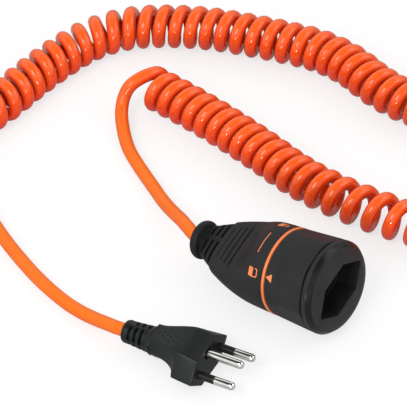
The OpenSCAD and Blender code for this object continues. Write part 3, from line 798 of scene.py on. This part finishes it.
flange_r, sleeve_x = flange_d / 2, cavity_x + 0.1
flange = rounded([(0, cord_r + 0.7, 0), (0, flange_r - 2.4, 0.5), (0.9, flange_r - 0.75, 0.8),
                  (flange_x, flange_r, 1.5), (neck_x - 1.0, flange_r - 0.2, 0.8),
                  (neck_x - 0.3, grip_high(neck_x) + 1.2, 0)], 5)
rings = [polar(x, r, relief_angles) for x, r in flange]
slot_edges = [e for s in slots for e in (s, s + slot_w)]
rings += [polar(x, relief_radius(x), relief_angles)
          for x in stations(neck_x, relief_len - hair, 0.5, slot_edges, 0.08)]
rings += [polar(x, cord_r + wall, relief_angles) for x, wall in (
    (relief_len - hair, 1.0), (sleeve_x, 1.0), (sleeve_x, 1.7), (cavity_x + 2, 1.7),
    (cavity_x + 2, snug), (0.3, snug))]
strain_relief = skin("strain_relief_skin", on_coupling(np.array(rings)), relief_black, 28,
                     loop=True)
stands_in(strain_relief, "housing", "strain_relief", "strain_relief")

# %% [markdown]
# ### Accent ring
#
# The orange ring is turned, and stands a hair proud of the grip on both sides.

# %% Accent ring
ring_r = grip_d / 2 + 0.12
ring_outline = rounded([(ring_x, core_r + fit, 0), (ring_x, ring_r, 0.35),
                        (ring_x + ring_w, ring_r, 0.35), (ring_x + ring_w, core_r + fit, 0)])
accent_ring = turned("accent_ring_skin", on_coupling, ring_outline, (0, 0), accent, n_round, 40,
                     loop=True)
stands_in(accent_ring, "housing", "accent_ring", "accent_ring")

# %% [markdown]
# ### Lock collar
#
# Eight shallow flats make the collar easy to turn. Each flat is a plane: its radius is its
# distance over the cosine of the angle from its middle, and the collar's is the smaller of the
# cone's and the plane's, with a soft edge between them. The collar rides on the lock.

# %% Lock collar
collar_angles, edge_soft = around(240), 0.05


def off_flat(angle):
    """Angle from the middle of the nearest of the eight flats."""
    return np.abs((angle + math.pi / 8) % (math.pi / 4) - math.pi / 8)


def collar_cone(x):
    return grip_d / 2 + (collar_d - grip_d) / 2 * (x - collar_x) / collar_len


def flat_at(x):
    """Depth of the flats: they run out towards the ring."""
    return flat_depth * (0.25 + 0.75 * ease((x - collar_x) / 8))


def collar_radius(x, drop):
    cone = collar_cone(x) - drop
    plane = (cone - flat_at(x)) / np.cos(off_flat(collar_angles))
    return cone - np.logaddexp(0, (cone - plane) / edge_soft) * edge_soft


collar_end = collar_x + collar_len
drops = [(collar_x, 0.3), (collar_x + 0.12, 0.1), (collar_x + 0.35, 0.0)]
drops += [(x, 0.0) for x in np.linspace(collar_x + 2, collar_end - 2, 10)]
drops += [(collar_end - 0.7, 0.0), (collar_end - 0.3, 0.12), (collar_end - 0.08, 0.35),
          (collar_end, 0.65)]
rings = [polar(x, collar_radius(x, drop), collar_angles) for x, drop in drops]
rings += [polar(x, core_r + fit, collar_angles) for x in (collar_end, collar_x)]
collar = skin("lock_collar_skin", on_coupling(np.array(rings)), collar_black, 6, loop=True)
stands_in(collar, "lock", "collar", "lock_collar")

# %% [markdown]
# ### Front insert
#
# One moulding holds the core that the collar turns on, the rim, and the hexagonal recess for the
# plug. Its outside is turned. Its front face runs from a circle to a hexagon, which a ring
# of points does well: every point keeps its angle, and only its radius changes.

# %% Recess and rim
recess_w, recess_h, recess_flat, recess_depth, floor_t = 35.8, 19.5, 16.0, 12.0, 2.0
pin_gap, earth_off, pin_d, disc_t = 19.0, 5.0, 4.0, 1.6
floor_x = front_x - recess_depth
corners = [(recess_w / 2, 0), (recess_flat / 2, recess_h / 2), (-recess_flat / 2, recess_h / 2),
           (-recess_w / 2, 0), (-recess_flat / 2, -recess_h / 2), (recess_flat / 2, -recess_h / 2)]
corner_angles = np.array([math.atan2(-y, z) % (2 * math.pi) for y, z in corners])
insert_angles = around(240)
for a in corner_angles:
    insert_angles[np.argmin(np.abs(insert_angles - a))] = a


def recess_edge(grow=0.0):
    """Distance from the middle to the hexagon's edge, at each of the insert's angles."""
    direction = np.stack([-np.sin(insert_angles), np.cos(insert_angles)], -1)
    reach = []
    for (y0, z0), (y1, z1) in zip(corners, corners[1:] + corners[:1]):
        normal = unit([z1 - z0, y0 - y1])
        reach.append((normal @ (y0, z0) + grow) / np.maximum(direction @ normal, 1e-9))
    return np.min(reach, axis=0)


rim_r, core_bore = rim_d / 2, core_r - core_wall
chamfer_x = rim_x + 2.6
turned_part = rounded([
    (core_x, core_bore + 0.01, 0), (core_x, spigot_r, 0.3), (ring_x - 0.01, spigot_r, 0),
    (ring_x, core_r, 0), (rim_x, core_r, 0), (rim_x, rim_r - 0.9, 0), (rim_x + 0.6, rim_r, 0.4),
    (chamfer_x, rim_r, 0.35), (chamfer_x + 2.3, rim_r - 1.8, 0.45),
    (front_x - 0.45, rim_r - 4.3, 1.0), (front_x, rim_r - 5.6, 0)], 5)
hollow = [(front_x, recess_edge(0.35)), (front_x - 0.12, recess_edge(0.1))]
hollow += [(x, recess_edge()) for x in (front_x - 0.4, front_x - 6, floor_x + 0.3)]
hollow += [(floor_x, recess_edge(-0.3) * k) for k in (1, 0.66, 0.33, 0.0005)]
hollow += [(floor_x - floor_t, core_bore * k) for k in (0.0005, 0.5, 1)]
rings = [polar(x, r, insert_angles) for x, r in [*turned_part, *hollow]]
insert = skin("front_insert_skin", on_coupling(np.array(rings)), rim_black, 24, loop=True)
for finish in (band_black, recess_painted_shade):
    insert.data.materials.append(finish)
# The chamfer gets the band; the recess's walls and floor get the darker black, a painted shade.
for face in insert.data.polygons:
    off = np.array(face.center) / mm - grip_start
    x = off @ axis_dir
    away = np.linalg.norm(off - x * axis_dir)
    if chamfer_x + 0.05 < x < chamfer_x + 2.4 and away > rim_r - 2.0:
        face.material_index = 1
    elif floor_x - 0.1 < x < front_x - 0.5 and away < recess_w / 2 + 0.1:
        face.material_index = 2
print("recess:", recess_w, "by", recess_h, "mm,", recess_depth, "mm deep")

# %% [markdown]
# ### Holes in the insert
#
# Three holes take a plug's pins, the lock reaches through two windows in the core, and the
# detent spring sits in a pocket. They are plain bars and sectors, cut out of the finished skin.

# %% Holes in the insert
pin_at = [(-pin_gap / 2, 0), (pin_gap / 2, 0), (0, earth_off)]
lug_at, lug_half, lock_turn, slack = 67.5, 10, 83, 2
spring_from, spring_to, spring_half = 3.9, 8.1, 19


def sector(name, x0, x1, r0, r1, start, end, n=24):
    """A cutter: part of a shell round the axis, between two angles in degrees."""
    a = np.radians(np.linspace(start, end, n))
    rings = [polar(x, np.full(n, r), a) for x, r in ((x0, r0), (x1, r0), (x1, r1), (x0, r1))]
    return skin(name, on_coupling(np.array(rings).transpose(1, 0, 2)), None, None)


def holes():
    disc_x = floor_x - floor_t - play - disc_t
    made = [rod("hole", on_coupling, floor_x - floor_t - 1, floor_x + 1, pin_d / 2 + 0.3, at)
            for at in pin_at]
    made += [sector("window", disc_x - play, floor_x - floor_t, core_bore - 1, core_r + 1,
                    side + lug_at - lug_half - lock_turn - slack, side + lug_at + lug_half + slack)
             for side in (0, 180)]
    made.append(sector("pocket", collar_x + spring_from, collar_x + spring_to, core_r - 0.9,
                       core_r + 1, 180 - spring_half, 180 + spring_half))
    return made


carve(insert, holes(), 24)
stands_in(insert, "housing", "insert", "front_insert")

# %% [markdown]
# ### Signs on the coupling
#
# An open and a closed padlock, with a line between them, show how far the collar turns, and a
# triangle on the collar points at one of them. They are printed, so each is a very thin patch
# that follows the surface. An image could carry them too, but a patch keeps its edge sharp from
# near by.

# %% Thin printed patches
proud, sunk, arc_mm = 0.045, 0.15, math.pi / 180 * grip_d / 2


def printed(name, surface, patches, body):
    """Thin patches on a surface; each one is a grid of (x, angle in degrees) rows."""
    points, faces = [], []
    for patch in patches:
        x, angle = np.moveaxis(np.asarray(patch, float) * (1, math.radians(1)), -1, 0)
        r = surface(x, angle)
        top, low = polar(x, r + proud, angle), polar(x, r - sunk, angle)
        rings = np.concatenate([top, low[:, ::-1]], axis=1)
        faces += [tuple(len(points) + v for v in f) for f in ring_faces(*rings.shape[:2])]
        points += [*rings.reshape(-1, 3)]
    made = clean(piece(name, on_coupling(np.array(points)), faces, [print_orange]), 40)
    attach(made, body)
    print(name, "rides on", body)


def stroke(path, width, step=0.25):
    """A patch along a path of (x, angle) with a width in millimetres."""
    p = np.asarray(path, float) * (1, arc_mm)
    fine = [p[0]]
    for a, b in zip(p, p[1:]):
        n = max(1, round(np.linalg.norm(b - a) / step))
        fine += [a + (b - a) * k / n for k in range(1, n + 1)]
    d = unit(np.gradient(fine, axis=0))
    side = np.stack([-d[:, 1], d[:, 0]], -1) * width / 2
    return np.stack([fine - side, fine + side], 1) / (1, arc_mm)


def block(x0, x1, a0, a1, slant=0.0, n=6):
    """A patch between two places and two angles; slant moves its front end in degrees."""
    return [[(x, a + slant * (x - x0)) for x in np.linspace(x0, x1, n)]
            for a in np.linspace(a0, a1, 2 * n)]


def on_collar(x, angle):
    cone = collar_cone(x)
    return np.minimum(cone, (cone - flat_at(x)) / np.cos(off_flat(angle)))


# %% [markdown]
# A padlock is a block with a bow, drawn as a stroke, and the open one leans a little. The
# triangle rides on the lock and turns with the collar, and the others stay on the grip.

# %% Padlocks, line and triangle
lock_back, lock_front, bow_w, line_x, line_w, line_to = 45.4, 47.9, 0.55, 47.3, 0.42, 16
open_bow = [(47.6, 47.6), (50.0, 47.2), (50.25, 46.2), (50.2, 38.2), (49.8, 36.9), (48.9, 36.7)]
closed_bow = [(47.6, -44.6), (49.3, -44.4), (50.1, -43.2), (50.1, -39.6), (49.3, -38.4),
              (47.6, -38.2)]
printed("open_padlock", grip_radius,
        [block(lock_back, lock_front, 35.3, 47.5, 0.4), stroke(open_bow, bow_w)], "housing")
printed("closed_padlock", grip_radius,
        [block(lock_back, lock_front, -47.4, -35.6), stroke(closed_bow, bow_w)], "housing")
line = [(line_x, a) for a in np.arange(-line_to, line_to + 0.1, 2)]
printed("turn_line", grip_radius, [stroke(line, line_w)], "housing")
tip_x, base_x, tip_at, blunt = collar_x + 0.35, collar_x + 3.7, 41.8, 0.02
triangle = [[(tip_x + (base_x - tip_x) * t, tip_at + (a - tip_at) * max(t, blunt))
             for t in np.linspace(0, 1, 8)] for a in np.linspace(36.2, 47.4, 12)]
printed("pointer", on_collar, [triangle], "lock")

# %% [markdown]
# ## The plug
#
# The plug's body is a flat hexagon in section. Straight wings stand behind the face, then the
# sides draw in along a hollow curve to the round boot, and a raised pad on top gives the
# fingers a hold. The section's six corners come from the same curves as the CAD, each corner is
# rounded, and every ring gets the same number of points.

# %% Section of the plug
plug_w, wing_len, boot_d, boot_end_d, face_t = 35.0, 12.0, 14.4, 10.8, 2.0
pin_len, sleeve_len, stem_r, pin_edge = 19.0, 8.5, 1.5, 0.3
waist_r, plug_wall, wing_slope = boot_d / 2 + 0.1, 1.8, 0.1


def behind(x, start, length):
    """0 down to start behind the face, and 1 from the end of the length after it."""
    return ease((-x - start) / length)


def plug_half(x):
    t = np.clip((x + plug_len) / (plug_len - wing_len), -1, 1)
    wide = plug_w / 2 - wing_len * wing_slope - waist_r
    hollow = waist_r + wide * (1 - np.sqrt(1 - t * t))
    return np.where(x >= -wing_len, plug_w / 2 + x * wing_slope, hollow)


def plug_top(x):
    return plug_h / 2 + 0.1 + 1.4 * behind(x, 1, 9) - 1.7 * behind(x, 13, 15)


def plug_corners(x, inset=0.0):
    """The six corners of the section at x, from the near tip over the top."""
    a = plug_half(x) - inset
    b = plug_w / 4 + 0.1 - 4 * behind(x, 7, 21) - inset / 2
    c = plug_w / 4 - 5.2 * behind(x, 7, 11) - inset / 2
    t = plug_top(x) - inset * 0.8
    u = plug_h / 2 - 2.2 * behind(x, 9, 9) - inset * 0.8
    return np.array([(-a, 0), (-b, t), (b, t), (a, 0), (c, -u), (-c, -u)], float)


corner_steps, edge_points = 5, (14, 56, 14, 14, 30, 14)


def plug_section(x, inset=0.0, fillet=0.9, share=0.3):
    """One ring: the hexagon with rounded corners, evenly sampled along each side."""
    corner = plug_corners(x, inset)
    before, after = np.roll(corner, 1, 0), np.roll(corner, -1, 0)
    sides = np.linalg.norm(after - corner, axis=1)
    reach = np.minimum(fillet, share * np.minimum(sides, np.roll(sides, 1)))[:, None]
    a, b = corner + unit(before - corner) * reach, corner + unit(after - corner) * reach
    ring = []
    for i, n in enumerate(edge_points):
        ring += arc(a[i], corner[i], b[i], corner_steps)
        ring += [b[i] + (a[(i + 1) % 6] - b[i]) * t for t in np.linspace(0, 1, n + 2)[1:-1]]
    return np.array(ring)


print("plug:", plug_w, "mm wide,", plug_len, "mm long")

# %% [markdown]
# ### Finger pad
#
# Small round dimples sit on the pad in staggered rows. They are real hollows: the top's points
# are close enough there to be pressed down one by one.

# %% Plug body with its dimples
dimple_r, dimple_deep = 0.78, 0.6
dimples = [(-25.2 + 2.3 * row, 2.6 * (k - (count - 1) / 2))
           for row, count in enumerate((1, 2, 3, 4, 3)) for k in range(count)]


def press_dimples(points):
    """Presses the dimples into the flat top of a grid of points (x, y, z)."""
    x, y, z = points[..., 0], points[..., 1], points[..., 2]
    on_top = z > plug_top(x) - 0.05
    drop = np.zeros(x.shape)
    for at_x, at_y in dimples:
        d = np.hypot(x - at_x, y - at_y) / dimple_r
        drop = np.maximum(drop, dimple_deep * ease(1.35 * (1 - d)))
    points[..., 2] = z - np.where(on_top, drop, 0)
    return points


pad_xs = np.arange(-14, -27.2, -0.22)
plug_xs = np.concatenate([[-1.0, -1.6], np.arange(-2.4, -13.7, -0.75), pad_xs,
                          np.linspace(-27.4, -plug_len + 0.25, 5)])


def ring_at(x, inset=0.0, fillet=0.9, shown_x=None):
    section = plug_section(x, inset, fillet)
    return np.column_stack([np.full(len(section), x if shown_x is None else shown_x), section])


rings = [ring_at(-0.1, 0.75, 0.6, 0.0), ring_at(-0.2, 0.3, 0.7, -0.12),
         ring_at(-0.5, 0.06, 0.8, -0.45), *map(ring_at, plug_xs)]
rings += [ring_at(-plug_len + 0.1, 0.2), ring_at(-plug_len + 0.05, 0.5, shown_x=-plug_len)]
rings = press_dimples(np.array(rings))
plug_body = skin("plug_body_skin", on_plug(rings), plug_black, 26)
print("dimples:", len(dimples))

# %% [markdown]
# ### Openings in the plug
#
# The body is hollow. The pins come out through its face and the cord through its back, so a
# cavity and a bar for each of them are cut out.

# %% Openings in the plug
cavity_end = -plug_len + 2
cavity = [ring_at(x, plug_wall, 0.5) for x in np.concatenate([
    [-face_t], np.arange(-3, cavity_end, -1.5), [cavity_end]])]
inside = skin("cavity", on_plug(np.array(cavity)), None, None)
pin_holes = [rod("hole", on_plug, -face_t - 0.5, 1, pin_d / 2 + fit, at) for at in pin_at]
recess = rod("recess", on_plug, -0.8, 1, pin_d / 2 + 0.8, pin_at[2])
cord_hole = rod("cord_hole", on_plug, -plug_len - 1, cavity_end + 0.5, cord_r + fit,
                (0, boot_rise))
carve(plug_body, [inside, *pin_holes, recess, cord_hole], 26)
stands_in(plug_body, "housing", "plug_black", "plug_body")

# %% [markdown]
# ### Boot
#
# The boot bends with the cord: slots round it leave thin bridges between them. Its radius is
# again a function of place and angle. On the far upper side the slots stand further forward.

# %% Boot
boot_slots, slot_len, boot_floor, boot_stagger = (4.7, 8.0, 11.2), 1.3, cord_r + 0.9, 2.2
slot_half, slot_edge = math.radians(38), math.radians(1.6)
boot_back, boot_r, back_r = -plug_len - boot_len, boot_d / 2, boot_end_d / 2
boot_profile = rounded([
    (-plug_len, boot_r - 0.3, 0), (-plug_len - 0.6, boot_r, 0.5),
    (-plug_len - 1.9, boot_r - 0.7, 0.6), (boot_back + 3.4, back_r + 0.2, 1.0),
    (boot_back + 1.6, back_r + 0.3, 0.8), (boot_back + 0.35, back_r - 0.2, 0.5),
    (boot_back, back_r - 1.0, 0)], 5)
boot_angles = around(216)
far_upper = boot_angles > 1.5 * math.pi


def boot_radius(x):
    at = boot_profile[::-1]
    r = np.full(len(boot_angles), np.interp(x, at[:, 0], at[:, 1]))
    quarter = np.abs((boot_angles % (math.pi / 2)) - math.pi / 4)
    open_here = ease((slot_half - quarter) / slot_edge + 0.5)
    for s in boot_slots:
        start = -plug_len - s - slot_len + np.where(far_upper, boot_stagger, 0)
        r = r - (r - boot_floor) * groove_mask(x, start, slot_len, 0.1) * open_here
    return r


boot_edges = [e + ahead for s in boot_slots for e in (-plug_len - s - slot_len, -plug_len - s)
              for ahead in (0, boot_stagger)]
boot_xs = sorted({*stations(boot_back, -plug_len, 0.5, boot_edges), *boot_profile[:, 0]})
rings = [polar(x, boot_radius(x), boot_angles) for x in boot_xs[::-1]]
rings += [polar(x, cord_r + snug, boot_angles) for x in (boot_back, -plug_len)]
boot = skin("plug_boot_skin", on_plug(np.array(rings) + (0, 0, boot_rise)), boot_black, 28,
            loop=True)
stands_in(boot, "housing", "boot_black", "plug_boot")

# %% [markdown]
# ### Pins and their sleeves
#
# The pins are turned from rod, with a domed tip. Live and neutral carry a black sleeve as thick
# as the pin, so that a half-drawn plug shows no bare metal.

# %% Pins and sleeves
pin_r, root_r, root_back, root_front = pin_d / 2, 1.75, -face_t - 8.4, -face_t - 3.4


def pin_profile(full_from):
    tip = [(pin_len - pin_r + pin_r * math.sin(t), pin_r * math.cos(t) ** 0.85)
           for t in np.linspace(0.001, math.pi / 2 - 0.02, 9)]
    shoulder = full_from + pin_edge
    return [(root_back, 0), (root_back, root_r), (root_front, root_r), (root_front, stem_r),
            (full_from, stem_r), (full_from, pin_r - 0.3), (shoulder, pin_r - 0.02),
            (shoulder + 0.2, pin_r), (pin_len - 6, pin_r), *tip, (pin_len, 0)]


pins, poles = [], ("live", "neutral", "earth")
for name, at, full_from in zip(poles, pin_at, (sleeve_len, sleeve_len, 0.2)):
    pin = turned(f"pin_{name}_turned", on_plug, pin_profile(full_from), at, nickel, 64, 30)
    stands_in(pin, "housing", "pin_nickel", "pin_" + name)
    pins.append(pin)
sleeve_profile = rounded([
    (-face_t, stem_r + fit, 0), (-face_t, pin_r, 0), (sleeve_len - pin_edge, pin_r, 0.2),
    (sleeve_len, pin_r - 0.15, 0.1), (sleeve_len, stem_r + fit, 0)], 3)
for name, at in zip(poles[:2], pin_at):
    sleeve = turned(f"sleeve_{name}_skin", on_plug, sleeve_profile, at, sleeve_black, 64, 30,
                    loop=True)
    stands_in(sleeve, "housing", "sleeve_black", "sleeve_" + name)
    pins.append(sleeve)

# %% [markdown]
# ### Where the grip starts
#
# The rigid solids can't show that the cord bends and stretches. This cell only gives the place
# where the grip starts, in metres.

# %% Where the grip starts
tuple(grip_start * mm)

# %% [markdown]
# ## Pieces that stay as the CAD made them
#
# The contacts, cores, ferrule, lock disc and spring sit inside. Their shapes are right already,
# so they only get a finish.

# %% Inner pieces
finish_of = {
    steel: "lock_disc detent_spring", aluminium: "jacket_ferrule",
    brass: "contact_live contact_neutral contact_earth", ivory: "contact_block pin_bridge",
    brown: "core_live plug_core_live", blue: "core_neutral plug_core_neutral",
    green: "core_earth plug_core_earth"}
for material, names in finish_of.items():
    for name in names.split():
        data = frame["nodes"][name].data
        data.materials.clear()
        data.materials.append(material)
print("inner pieces:", sum(len(names.split()) for names in finish_of.values()))

# %% [markdown]
# ## Floor and lights
#
# The object lies on plain white. To the camera most of the floor's light is its own glow, so it
# is white where nothing shades it and needs no more light, which would bleach the orange too.
# Rays that bounce off shiny pieces see a duller floor, so that the pins get a darker side.

# %% Floor
ground = Finish("floor", (0.9, 0.9, 0.9), 0.9, Specular_IOR_Level=0.0)
ground.set("Base Color", ground.mix(ground.noise(40, 2), (0.895,) * 3, (0.905,) * 3))
seen = ground.node("LightPath", out="Is Camera Ray")
mirrored = ground.node("LightPath", out="Is Glossy Ray")
glow_share, duller, far = 0.7, 0.75, 6000
glow = ground.node("Emission", {}, {"Color": (1, 1, 1, 1), "Strength": 1 - duller * mirrored})
lit = Value(ground.tree, ground.shader.outputs[0])
both = ground.node("MixShader", {}, {0: glow_share * (seen + mirrored), 1: lit, 2: glow})
ground.give(ground.tree.nodes["Material Output"], "Surface", both)
floor = piece("floor", [(-far, -far, 0), (far, -far, 0), (far, far, 0), (-far, far, 0)],
              [(0, 1, 2, 3)], [ground.material])
print("floor:", 2 * far / 1000, "m wide")

# %% [markdown]
# ### Lamps
#
# Three soft lamps aim at the middle of the object. The smallest stands in front and adds a thin
# bright line to the pins' sides.

# %% Lamps
lamp_aim = Vector((-0.05, 0, 0))


def lamp(name, at, size, power):
    data = bpy.data.lights.new(name, "AREA")
    data.shape, data.size, data.size_y, data.energy = "RECTANGLE", size, size, power
    made = bpy.data.objects.new(name, data)
    scene.collection.objects.link(made)
    made.location = at
    made.rotation_euler = (lamp_aim - Vector(at)).to_track_quat("-Z", "Y").to_euler()


lamp("key", (0.0, -0.9, 1.2), 0.7, 8)
lamp("fill", (0.9, 0.9, 0.9), 1.0, 4)
lamp("front", (0.55, -1.15, 0.3), 0.22, 4)
print("lamps:", len(bpy.data.lights))

# %% [markdown]
# ### Sky
#
# The sky fills the shadows and is darker near the horizon, which gives the curls their depth.
# Shiny pieces see it dark overhead as well, and that draws dark lines between the pins' bright
# sides.

# %% Sky
scene.world = bpy.data.worlds.new("sky")
sky = Nodes(scene.world)
height = sky.node("SeparateXYZ", {}, {0: sky.node("TexCoord", out="Generated")}, out="Z")


def brighter(dark, low, high):
    """Brightness that rises from dark to 1 between two heights of the sky."""
    return dark + (1 - dark) * height.between(low, high)


overhead = 1 - 0.95 * height.between(0.74, 0.86)
reflected = brighter(0.3, 0.02, 0.2) * overhead
is_glossy = sky.node("LightPath", out="Is Glossy Ray")
background = scene.world.node_tree.nodes["Background"]
sky.give(background, "Color", sky.mix(is_glossy, brighter(0.18, 0.12, 0.42), reflected))
sky.give(background, "Strength", 0.9)
scene.view_settings.view_transform = "Standard"
print("sky nodes:", len(sky.tree.nodes))
